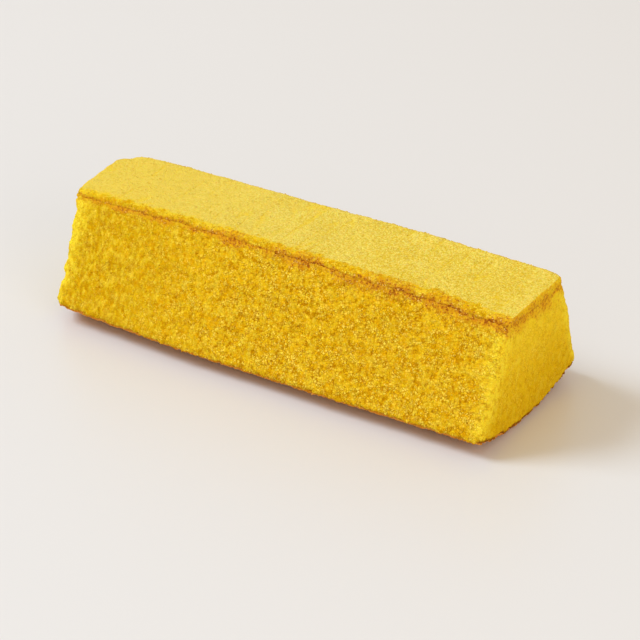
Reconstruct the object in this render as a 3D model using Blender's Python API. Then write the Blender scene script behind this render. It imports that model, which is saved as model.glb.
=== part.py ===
"""Baumkuchen stick: a lengthwise wedge of a round spit cake, lying on its outer side.

Two pieces, both running the whole length: the deep crumb below, and the thin top layer
that lies on it. The cake's browned line is where the two meet. Metres, +Z up, X along the
stick, origin at the middle of the footprint, at the level that the stick rests on.
"""
import math

import bmesh
import bpy
from mathutils import Vector, noise

# ---------------------------------------------------------------- driving dimensions
LENGTH = 0.1514
HEIGHT = 0.0398                # at the ends, without the crown
CROWN = 0.0014                 # how much higher the top is at mid-length
TOP_WIDTH_LEFT = 0.0300
TOP_WIDTH_RIGHT = 0.0315
BOTTOM_WIDTH = 0.0572

# The underside is the outer skin of the round cake, so its long edges stand clear.
EDGE_RISE_LEFT = 0.0057
EDGE_RISE_MIDDLE = 0.0043
EDGE_RISE_RIGHT = 0.0045
REST_WIDTH = 0.0150            # width of the flat strip that the stick rests on

# The top layer is thicker in the middle, because the browned line sags with the rings.
LAYER_EDGE = 0.0018
LAYER_SAG = 0.0013
LAYER_GAP = 0.0003

# Uneven cutting
FRONT_FOOT_SWELL = 0.0013      # how far the front's lower edge swells at mid-length
BACK_SWELL = 0.0012            # how far the back swells at mid-height
RIGHT_END_SWELL = 0.0006       # how far the right end swells at mid-height
RIGHT_HEAD_REACH = 0.0008      # how far the right end leans out at its top
RIGHT_BACK_REACH = 0.0012      # how far the back's upper edge reaches out at the right end
RIGHT_FOOT_TUCK = 0.0012       # how far the right end's front foot is tucked in
LEFT_END_HOLLOW = 0.0010       # how far the left end falls in at mid-height
LEFT_FOOT_REACH = 0.0014       # how far the left end leans out at its foot
LEFT_END_SKEW = 0.0010         # how far the left end is cut askew at its long edges
END_REACH_POWER = 8            # keeps what shapes the ends close to them

# Rounding of the edges
CUT_EDGE_RADIUS = 0.0016
TOP_EDGE_RADIUS = 0.0008
SEAM_EDGE_RADIUS = 0.0003
EDGE_SEGMENTS = 2
LEFT_CORNER_RADIUS = 0.0065    # in plan, where the back left top corner is worn round
RIGHT_CORNER_RADIUS = 0.0028   # the same for the back right top corner
CORNER_DROP = 0.18             # how far those corners sink, as a share of their radius

# Relief: knobbly crumb on the cut sides, finer at the ends, smooth skin above and below
SIDE_RELIEF = 0.00075
END_RELIEF = 0.00045
SKIN_RELIEF = 0.00016
CRAG_SIZE = 0.0060
CRAG_GAIN = 2.4                # brings the cell noise to about -1 to 1
CRAG_LEVEL = 0.8
LUMP_SIZE = 0.0260
LUMP_GAIN = 2.0
LUMP_SHARE = 0.45
WRINKLE_SPACING = 0.0090       # the skin's wrinkles run across the stick
WRINKLE_REACH = 0.0270

# Mesh steps
STEP_ALONG = 0.0031
STEP_UP = 0.0031
STEP_ACROSS = 0.0036
CUT_TOLERANCE = 0.000001

HALF_LENGTH = LENGTH / 2
MEAN_WIDTH = (BOTTOM_WIDTH + (TOP_WIDTH_LEFT + TOP_WIDTH_RIGHT) / 2) / 2
HALF_WIDTH = MEAN_WIDTH / 2
BODY_DEPTH = HEIGHT - LAYER_EDGE - LAYER_GAP
LAYER_DEPTH = LAYER_EDGE + LAYER_SAG

# Colours and finish
CRUMB_YELLOW = (0.80, 0.47, 0.03, 1)
LAYER_YELLOW = (0.86, 0.60, 0.10, 1)
CRUMB_ROUGHNESS = 0.85


# ---------------------------------------------------------------- the stick's form
# along runs from -1 at the left end to 1 at the right, across from -1 in front to 1 at
# the back, and rise from 0 at the underside to 1 at the top.
def blend(start, end, share):
    """Value that lies at the given share of the way from start to end."""
    return start + (end - start) * share


def crest(along):
    """Height of the top face."""
    return HEIGHT + CROWN * (1 - along ** 2)


def top_half_width(along):
    """Half the width of the top face."""
    return blend(TOP_WIDTH_LEFT, TOP_WIDTH_RIGHT, (along + 1) / 2) / 2


def edge_rise(along):
    """Height of the underside's long edges over the rest strip."""
    end_rise = EDGE_RISE_RIGHT if along > 0 else EDGE_RISE_LEFT
    return blend(EDGE_RISE_MIDDLE, end_rise, along ** 2)


def underside(along, across):
    """Point (y, z) of the rounded underside, flat at its middle."""
    half_width = BOTTOM_WIDTH / 2
    if across < 0:
        half_width += FRONT_FOOT_SWELL * (1 - along ** 2)
    rest_share = REST_WIDTH / BOTTOM_WIDTH
    bend = max(0.0, across ** 2 - rest_share ** 2) / (1 - rest_share ** 2)
    return half_width * across, edge_rise(along) * bend


def seam(along, across):
    """Point (y, z) of the top layer's lower face, which sags like the cake's rings."""
    half_width = blend(top_half_width(along), BOTTOM_WIDTH / 2, LAYER_EDGE / HEIGHT)
    sag = LAYER_SAG * (1 - across ** 2)
    return half_width * across, crest(along) - LAYER_EDGE - sag


def under_seam(along, across):
    """Point (y, z) of the deep crumb's upper face."""
    y, z = seam(along, across)
    return y, z - LAYER_GAP


def top_face(along, across):
    """Point (y, z) of the flat top face."""
    return top_half_width(along) * across, crest(along)


def end_shift(along, across, rise):
    """Lengthwise shift that makes the two ends as uneven as cut ones."""
    belly = 4 * rise * (1 - rise)
    if along < 0:
        lean = LEFT_FOOT_REACH * (1 - rise) + LEFT_END_SKEW * across
        return along ** END_REACH_POWER * (LEFT_END_HOLLOW * belly - lean)
    tuck = RIGHT_FOOT_TUCK * max(0.0, -across) * (1 - rise)
    return along ** END_REACH_POWER * (RIGHT_END_SWELL * belly + RIGHT_HEAD_REACH * rise - tuck)


def side_shift(along, across, rise):
    """Sideways shift that makes the back swell, and reach out above at the right end."""
    belly = BACK_SWELL * 4 * rise * (1 - rise) * (1 - along ** 2 / 2)
    return max(0.0, across) * (belly + RIGHT_BACK_REACH * max(0.0, along) * rise)


def crumb_relief(place):
    """Uneven height of the cut crumb, from about -1 to 1: knobbly crags on broad lumps."""
    nearest, following = noise.voronoi(place / CRAG_SIZE)[0][:2]
    crag = CRAG_GAIN * (following - nearest) - CRAG_LEVEL
    lump = LUMP_GAIN * noise.noise(place / LUMP_SIZE)
    return blend(crag, lump, LUMP_SHARE)


def skin_relief(place):
    """Uneven height of the skin, from -1 to 1, which fades out at the rest strip."""
    fade = min(1.0, place.z / EDGE_RISE_MIDDLE)
    return fade * noise.noise(Vector((place.x / WRINKLE_SPACING, place.y / WRINKLE_REACH, fade)))


def worn_corner(place, rise):
    """Place of a point once the back top corners are worn round."""
    end = math.copysign(1, place.x)
    radius = RIGHT_CORNER_RADIUS if end > 0 else LEFT_CORNER_RADIUS
    back = top_half_width(end) + RIGHT_BACK_REACH * max(0.0, end)
    reach = Vector((max(0.0, abs(place.x) - HALF_LENGTH + radius), max(0.0, place.y - back + radius)))
    share = min(1.0, max(0.0, 2 * rise - 1) ** 2)
    if min(reach) == 0 or share == 0:
        return place
    pull = reach * share * (1 - max(reach) / reach.length)
    drop = CORNER_DROP * radius * share * min(1.0, reach.x * reach.y / radius ** 2)
    return place + Vector((-end * pull.x, -pull.y, -drop))


# ---------------------------------------------------------------- mesh work
def round_edges(mesh, edges, radius):
    """Round the given edges."""
    bmesh.ops.bevel(mesh, geom=edges, offset=radius, segments=EDGE_SEGMENTS, profile=0.5,
                    affect="EDGES", clamp_overlap=True)


def rounded_box(depth, top_radius, bottom_radius):
    """Box of the stick's length and mean width that stands on z = 0, with rounded edges."""
    mesh = bmesh.new()
    bmesh.ops.create_cube(mesh, size=1.0)
    bmesh.ops.scale(mesh, vec=(LENGTH, MEAN_WIDTH, depth), verts=mesh.verts)
    bmesh.ops.translate(mesh, vec=(0, 0, depth / 2), verts=mesh.verts)
    uprights = [edge for edge in mesh.edges
                if abs(edge.verts[0].co.z - edge.verts[1].co.z) > depth / 2]
    round_edges(mesh, uprights, CUT_EDGE_RADIUS)
    rim = [edge for edge in mesh.edges
           if min(vert.co.z for vert in edge.verts) > depth - CUT_TOLERANCE]
    round_edges(mesh, rim, top_radius)
    foot = [edge for edge in mesh.edges if max(vert.co.z for vert in edge.verts) < CUT_TOLERANCE]
    round_edges(mesh, foot, bottom_radius)
    return mesh


def cut_grid(mesh, axis, low, high, step):
    """Cut the mesh across one axis at even steps from low to high, both included."""
    normal = Vector((0, 0, 0))
    normal[axis] = 1
    count = max(1, round((high - low) / step))
    for index in range(count + 1):
        everything = mesh.verts[:] + mesh.edges[:] + mesh.faces[:]
        bmesh.ops.bisect_plane(mesh, geom=everything, plane_no=normal, dist=CUT_TOLERANCE,
                               plane_co=normal * blend(low, high, index / count))


def shape(mesh, depth, lower, upper, skin_above):
    """Turn the box into the stick's section between two curves and give it its relief."""
    for vert in mesh.verts:
        along = vert.co.x / HALF_LENGTH
        across = vert.co.y / HALF_WIDTH
        share = vert.co.z / depth
        low_y, low_z = lower(along, across)
        high_y, high_z = upper(along, across)
        place = Vector((vert.co.x, blend(low_y, high_y, share), blend(low_z, high_z, share)))
        rise = place.z / HEIGHT
        near_end = max(0.0, 1 - (HALF_LENGTH - abs(vert.co.x)) / CUT_EDGE_RADIUS)
        near_side = max(0.0, 1 - (HALF_WIDTH - abs(vert.co.y)) / CUT_EDGE_RADIUS)
        crumb = crumb_relief(place)
        shift = Vector((math.copysign(near_end, along) * END_RELIEF * crumb,
                        math.copysign(near_side, across) * SIDE_RELIEF * crumb,
                        SKIN_RELIEF * skin_relief(place) if (share > 0.5) == skin_above else 0))
        shift.x += end_shift(along, across, rise)
        shift.y += side_shift(along, across, rise)
        vert.co = worn_corner(place + shift, rise)


def crumb_body():
    """The deep crumb: all that lies below the browned line."""
    mesh = rounded_box(BODY_DEPTH, SEAM_EDGE_RADIUS, CUT_EDGE_RADIUS)
    cut_grid(mesh, 0, CUT_EDGE_RADIUS - HALF_LENGTH, HALF_LENGTH - CUT_EDGE_RADIUS, STEP_ALONG)
    cut_grid(mesh, 1, CUT_EDGE_RADIUS - HALF_WIDTH, HALF_WIDTH - CUT_EDGE_RADIUS, STEP_ACROSS)
    cut_grid(mesh, 2, CUT_EDGE_RADIUS, BODY_DEPTH - SEAM_EDGE_RADIUS, STEP_UP)
    shape(mesh, BODY_DEPTH, underside, under_seam, skin_above=False)
    return mesh


def top_layer():
    """The thin layer over the browned line, with the smooth top face."""
    mesh = rounded_box(LAYER_DEPTH, TOP_EDGE_RADIUS, SEAM_EDGE_RADIUS)
    cut_grid(mesh, 0, CUT_EDGE_RADIUS - HALF_LENGTH, HALF_LENGTH - CUT_EDGE_RADIUS, STEP_ALONG)
    cut_grid(mesh, 1, CUT_EDGE_RADIUS - HALF_WIDTH, HALF_WIDTH - CUT_EDGE_RADIUS, STEP_ACROSS)
    cut_grid(mesh, 2, SEAM_EDGE_RADIUS, LAYER_DEPTH - TOP_EDGE_RADIUS, LAYER_DEPTH)
    shape(mesh, LAYER_DEPTH, seam, top_face, skin_above=True)
    return mesh


def finish(colour, name):
    """Matt cake finish of one colour."""
    material = bpy.data.materials.new(name)
    material.use_nodes = True
    shader = material.node_tree.nodes["Principled BSDF"]
    shader.inputs["Base Color"].default_value = colour
    shader.inputs["Roughness"].default_value = CRUMB_ROUGHNESS
    shader.inputs["Metallic"].default_value = 0
    return material


def piece(name, mesh, colour, collection):
    """Make the shaped mesh an object with its own material in the collection."""
    bmesh.ops.recalc_face_normals(mesh, faces=mesh.faces)
    data = bpy.data.meshes.new(name)
    mesh.to_mesh(data)
    mesh.free()
    data.shade_smooth()
    data.materials.append(finish(colour, name))
    made = bpy.data.objects.new(name, data)
    collection.objects.link(made)
    return made


def centre(pieces):
    """Bring the middle of the pieces' footprint to the origin."""
    corners = [vert.co for made in pieces for vert in made.data.vertices]
    middle = Vector([(min(axis) + max(axis)) / 2 for axis in zip(*corners)])
    for made in pieces:
        for vert in made.data.vertices:
            vert.co -= Vector((middle.x, middle.y, 0))


def main():
    """Build the stick in an empty scene."""
    for old in list(bpy.data.objects):
        bpy.data.objects.remove(old, do_unlink=True)
    collection = bpy.data.collections.new("baumkuchen_stick")
    bpy.context.scene.collection.children.link(collection)
    centre([piece("crumb_body", crumb_body(), CRUMB_YELLOW, collection),
            piece("top_layer", top_layer(), LAYER_YELLOW, collection)])


main()
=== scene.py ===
"""Looks of a baumkuchen stick: open golden crumb, browned line, felt-like top, browned underside.

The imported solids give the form. Each of the two visible bodies starts as a welded copy of its
solid, is rebuilt as a fine even mesh and gets its crumb and skin as real relief. Small uneven
grains are then set into the cut faces and into the top skin. All lengths are in metres.
"""
import logging
import math
from collections.abc import Callable
from dataclasses import dataclass, field
from enum import Enum

import bmesh
import bpy
from mathutils import Matrix, Vector


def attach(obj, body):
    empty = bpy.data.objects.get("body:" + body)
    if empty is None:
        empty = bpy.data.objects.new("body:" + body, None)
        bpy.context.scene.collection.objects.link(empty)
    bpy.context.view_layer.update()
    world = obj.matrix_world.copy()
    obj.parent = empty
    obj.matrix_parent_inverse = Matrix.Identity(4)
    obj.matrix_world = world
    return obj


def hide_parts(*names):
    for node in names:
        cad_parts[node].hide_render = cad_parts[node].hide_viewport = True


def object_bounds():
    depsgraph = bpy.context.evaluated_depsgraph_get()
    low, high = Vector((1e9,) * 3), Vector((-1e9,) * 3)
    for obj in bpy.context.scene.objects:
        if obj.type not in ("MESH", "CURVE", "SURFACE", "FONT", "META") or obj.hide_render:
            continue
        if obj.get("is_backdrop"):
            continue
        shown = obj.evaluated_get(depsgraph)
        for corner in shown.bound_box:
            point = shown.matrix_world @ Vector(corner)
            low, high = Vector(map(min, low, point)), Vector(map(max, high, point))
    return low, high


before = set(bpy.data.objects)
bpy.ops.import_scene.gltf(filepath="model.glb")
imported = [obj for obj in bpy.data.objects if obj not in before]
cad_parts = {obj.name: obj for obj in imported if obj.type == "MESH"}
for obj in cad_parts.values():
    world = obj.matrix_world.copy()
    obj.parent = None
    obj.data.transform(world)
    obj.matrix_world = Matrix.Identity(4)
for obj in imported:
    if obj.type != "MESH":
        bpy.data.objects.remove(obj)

MM = 0.001
BODY = "root"

Socket = bpy.types.NodeSocket
Tree = bpy.types.NodeTree
Object = bpy.types.Object
Material = bpy.types.Material
Triple = tuple[float, float, float]
Colour = Triple
Box = tuple[Triple, Triple]
SOCKET_KINDS = {float: "NodeSocketFloat", int: "NodeSocketInt", str: "NodeSocketString",
                tuple: "NodeSocketVector"}


class Attribute(Enum):
    """Values that the meshes carry for their finishes and grains."""

    NORMAL = "base_normal"
    HEIGHT = "crumb_height"
    CUT = "cut_share"
    SKIN = "skin_share"
    SEAM = "seam_distance"
    END = "end_distance"
    EDGE = "edge_distance"
    RIM = "rim_distance"
    CREASE = "crease_share"
    BASE = "base_distance"
    TONE = "grain_tone"


class SkinSide(Enum):
    """Which way a piece's smooth baked skin looks."""

    UP = 1.0
    DOWN = -1.0


class Facing(Enum):
    """Outward directions by which faces are chosen for grains."""

    FRONT = (0.0, -1.0, 0.0)
    BACK = (0.0, 1.0, 0.0)
    RIGHT = (1.0, 0.0, 0.0)
    LEFT = (-1.0, 0.0, 0.0)
    UP = (0.0, 0.0, 1.0)
    ALL_ROUND = (0.0, 0.0, 0.0)


class GrainShape(Enum):
    """How a grain starts out before it is turned, stretched and dented."""

    CLUMP = "round"
    FLECK = "long"


class RandomSeed(Enum):
    """Seeds of what is drawn at random for each grain."""

    TURN = 3
    SIZE = 5
    TONE = 7
    STRETCH = 11


@dataclass(frozen=True)
class Ramp:
    """Smooth step of a value, from start at low to end at high."""

    low: float
    high: float
    start: float = 0.0
    end: float = 1.0


def span(low: float, high: float, start: float = 0.0, end: float = 1.0) -> Ramp:
    """Make a ramp between two lengths in millimetres."""
    return Ramp(low * MM, high * MM, start, end)


# ---- node graphs
def joined(operation: str, turned: bool = False) -> Callable[["Signal", "Value"], "Signal"]:
    """Make a method that joins a signal and another value in a Math node.

    Args:
        operation: the Math operation.
        turned: whether the other value comes first.

    Returns:
        The method.
    """
    def join(signal: "Signal", other: "Value" = 0.0) -> "Signal":
        """Place the node."""
        first, second = (other, signal) if turned else (signal, other)
        return signal.graph.math(operation, first, second)
    return join


class Signal:
    """What a node gives out; arithmetic on it places further nodes."""

    __add__ = __radd__ = joined("ADD")
    __sub__, __rsub__ = joined("SUBTRACT"), joined("SUBTRACT", turned=True)
    __mul__ = __rmul__ = joined("MULTIPLY")
    __truediv__, __pow__, __abs__ = joined("DIVIDE"), joined("POWER"), joined("ABSOLUTE")
    at_least, at_most = joined("MAXIMUM"), joined("MINIMUM")
    above, below = joined("GREATER_THAN"), joined("LESS_THAN")

    def __init__(self, graph: "Graph", socket: Socket) -> None:
        """Hold an output socket of a graph."""
        self.graph, self.socket = graph, socket

    def step(self, low: "Value", high: "Value", start: "Value" = 0.0, end: "Value" = 1.0) -> "Signal":
        """Smooth step, from start at low to end at high."""
        return self.graph.out("ShaderNodeMapRange", "Result", {
            "Value": self, "From Min": low, "From Max": high, "To Min": start, "To Max": end},
            interpolation_type="SMOOTHSTEP")

    def ramp(self, ramp: Ramp) -> "Signal":
        """Smooth step with a ramp's values."""
        return self.step(ramp.low, ramp.high, ramp.start, ramp.end)

    def lifted(self, least: float) -> "Signal":
        """Share from 0 to 1, made to run from the least to 1."""
        return self * (1.0 - least) + least

    def part(self, axis: str) -> "Signal":
        """One part of a vector."""
        return self.graph.out("ShaderNodeSeparateXYZ", axis, {"Vector": self})

    def stretched(self, factors: Triple) -> "Signal":
        """Vector times a factor for each part."""
        return self.graph.vector("MULTIPLY", self, factors)

    def scaled(self, factor: "Value") -> "Signal":
        """Vector times a factor."""
        return self.graph.vector("SCALE", self, factor)


Signals = dict[str, Signal]
Value = Signal | float | int | bool | str | tuple | bpy.types.ID


class Graph:
    """Places nodes in one tree and joins them by the names of their sockets."""

    KIND = "ShaderNodeTree"
    RESULT = "NodeSocketFloat"

    def __init__(self, tree: Tree) -> None:
        """Work on the given tree."""
        self.tree = tree

    def feed(self, socket: Socket, value: Value) -> None:
        """Link an input to a signal, or set its constant.

        Args:
            socket: the input.
            value: the signal or the constant.
        """
        if isinstance(value, Signal):
            self.tree.links.new(value.socket, socket)
        else:
            socket.default_value = value

    def add(self, kind: str, values: dict[str, Value] | None = None, **settings: Value) -> Signals:
        """Place a node.

        Args:
            kind: the node's type.
            values: constants or signals for its inputs, by name.
            **settings: the node's own properties.

        Returns:
            The outputs that it uses, by name.
        """
        node = self.tree.nodes.new(kind)
        for name, value in settings.items():
            setattr(node, name, value)
        for name, value in (values or {}).items():
            socket = next(found for found in node.inputs if found.name == name and found.enabled)
            self.feed(socket, value)
        return {socket.name: Signal(self, socket) for socket in node.outputs if socket.enabled}

    def out(self, kind: str, name: str, values: dict[str, Value] | None = None, **settings: Value) -> Signal:
        """Place a node and return its output of that name."""
        return self.add(kind, values, **settings)[name]

    def operate(self, kind: str, operation: str, *values: Value) -> Signal:
        """Place a node that calculates.

        Args:
            kind: the node's type.
            operation: its operation.
            *values: values for the inputs that the operation uses, in their order.

        Returns:
            The result.
        """
        node = self.tree.nodes.new(kind)
        node.operation = operation
        for socket, value in zip((socket for socket in node.inputs if socket.enabled), values):
            self.feed(socket, value)
        return Signal(self, next(socket for socket in node.outputs if socket.enabled))

    def math(self, operation: str, *values: Value) -> Signal:
        """Calculate with numbers."""
        return self.operate("ShaderNodeMath", operation, *values)

    def vector(self, operation: str, *values: Value) -> Signal:
        """Calculate with vectors."""
        return self.operate("ShaderNodeVectorMath", operation, *values)

    def texture(self, kind: str, place: Value, size: Value, values: dict[str, Value] | None = None,
                **settings: Value) -> Signals:
        """Lay a texture on a lattice of the given size."""
        scale = self.math("DIVIDE", 1.0, size)
        return self.add(kind, {"Vector": place, "Scale": scale, **(values or {})}, **settings)

    def noise(self, place: Value, size: Value, detail: float = 2.0, roughness: float = 0.5) -> Signal:
        """Soft noise from 0 to 1."""
        values = {"Detail": detail, "Roughness": roughness}
        return self.texture("ShaderNodeTexNoise", place, size, values)["Fac"]

    def cells(self, place: Value, size: Value, **settings: Value) -> Signals:
        """Scattered cells with a random colour each."""
        return self.texture("ShaderNodeTexVoronoi", place, size, **settings)

    def swing(self, place: Value, size: Value, depth: Value, detail: float = 2.0) -> Signal:
        """Soft noise about 0, from minus half of the depth to plus half of it."""
        return (self.noise(place, size, detail) - 0.5) * depth

    def wander(self, place: Value, size: Value, depth: Value) -> Signal:
        """Shift places by a soft noise of the given size, over a width of the given depth."""
        cloud = self.texture("ShaderNodeTexNoise", place, size, {"Detail": 1.0})["Color"]
        return self.vector("ADD", place, self.centred(cloud).scaled(depth))

    def centred(self, vector: Signal) -> Signal:
        """Vector whose parts run from 0 to 1, moved to run about 0."""
        return self.vector("SUBTRACT", vector, (0.5, 0.5, 0.5))

    def finish(self, values: Signals) -> None:
        """Join signals to the tree's outputs.

        Args:
            values: the signals by the outputs' names.
        """
        node = self.tree.nodes.new("NodeGroupOutput")
        for name, value in values.items():
            self.feed(node.inputs[name], value)


class GeometryGraph(Graph):
    """A graph with the steps that geometry trees share."""

    KIND = "GeometryNodeTree"
    RESULT = "NodeSocketGeometry"

    def read(self, name: Value, data_type: str = "FLOAT") -> Signal:
        """Read an attribute of the mesh."""
        return self.out("GeometryNodeInputNamedAttribute", "Attribute", {"Name": name}, data_type=data_type)

    def store(self, mesh: Signal, attribute: Attribute, value: Signal, data_type: str = "FLOAT") -> Signal:
        """Store a value on the mesh's points."""
        return self.out("GeometryNodeStoreNamedAttribute", "Geometry", {
            "Geometry": mesh, "Name": attribute.value, "Value": value}, data_type=data_type, domain="POINT")

    def reach(self, geometry: Signal, selection: Signal | None = None) -> Signal:
        """Measure from each point to a geometry's faces.

        Args:
            geometry: the geometry.
            selection: which of its faces count; without it all do.

        Returns:
            The distance.
        """
        if selection is not None:
            geometry = self.out("GeometryNodeSeparateGeometry", "Selection", {
                "Geometry": geometry, "Selection": selection}, domain="FACE")
        return self.out("GeometryNodeProximity", "Distance", {"Geometry": geometry}, target_element="FACES")

    def held(self, place: Signal, given: Signals) -> Signal:
        """Hold places within the box that the tree is given."""
        return self.vector("MINIMUM", self.vector("MAXIMUM", place, given["Box Low"]), given["Box High"])

    def random(self, low: Value, high: Value, seed: RandomSeed) -> Signal:
        """Random number for each element, or random vector where the limits are vectors."""
        kind = "FLOAT_VECTOR" if isinstance(low, tuple) else "FLOAT"
        return self.out("FunctionNodeRandomValue", "Value", {
            "Min": low, "Max": high, "Seed": seed.value}, data_type=kind)


class FinishGraph(Graph):
    """A material's graph, with what the cake's finishes read from the surface and share."""

    ON_END = span(1.0, 0.2)
    MIDDLE_HEIGHT = 15.0 * MM

    def __init__(self, tree: Tree, groups: dict[str, Tree]) -> None:
        """Place the nodes that tell where a point of the surface lies.

        Args:
            tree: the material's tree.
            groups: the shared shader groups by name.
        """
        super().__init__(tree)
        self.groups = groups
        self.place = self.out("ShaderNodeTexCoord", "Object")
        self.along = self.place.part("X")
        self.upward = self.place.part("Z") - self.MIDDLE_HEIGHT
        self.from_end = self.read(Attribute.END)
        self.end = self.from_end.ramp(self.ON_END)

    def read(self, attribute: Attribute) -> Signal:
        """Read an attribute of the mesh."""
        return self.out("ShaderNodeAttribute", "Fac", attribute_name=attribute.value)

    def group(self, name: str, values: dict[str, Value]) -> Signals:
        """Place a shared group with its own values; unless they say otherwise, it lies unstretched."""
        return self.add("ShaderNodeGroup", {"Place": self.place, **values}, node_tree=self.groups[name])

    def mix(self, share: Value, first: Signal | Colour, second: Signal | Colour) -> Signal:
        """Mix two colours.

        Args:
            share: share of the second colour.
            first: first colour.
            second: second colour.

        Returns:
            The mixed colour.
        """
        colours = {name: colour if isinstance(colour, Signal) else (*colour, 1.0)
                   for name, colour in (("A", first), ("B", second))}
        return self.out("ShaderNodeMix", "Result", {"Factor": share, **colours}, data_type="RGBA")

    def washed(self, colour: Signal | Colour, *washes: tuple[Value, Signal | Colour]) -> Signal:
        """Lay washes over a colour, each over the one before.

        Args:
            colour: the colour below.
            *washes: share and colour of each wash.

        Returns:
            The colour above.
        """
        for share, wash in washes:
            colour = self.mix(share, colour, wash)
        return colour


def new_tree(name: str, kind: type[Graph], inputs: dict[str, Value | type], *outputs: str
             ) -> tuple[Graph, Signals]:
    """Make a node tree with named sockets.

    Args:
        name: the tree's name.
        kind: the class of its graph.
        inputs: default values by name, or a socket's class where it has none.
        *outputs: the outputs' names.

    Returns:
        The graph and the tree's inputs by name.
    """
    tree = bpy.data.node_groups.new(name, kind.KIND)
    for label, default in inputs.items():
        bare = isinstance(default, type)
        socket_type = default.__name__ if bare else SOCKET_KINDS[type(default)]
        socket = tree.interface.new_socket(label, in_out="INPUT", socket_type=socket_type)
        if not bare:
            socket.default_value = default
    for label in outputs:
        tree.interface.new_socket(label, in_out="OUTPUT", socket_type=kind.RESULT)
    graph = kind(tree)
    node = tree.nodes.new("NodeGroupInput")
    return graph, {label: Signal(graph, node.outputs[label]) for label in inputs}


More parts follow.
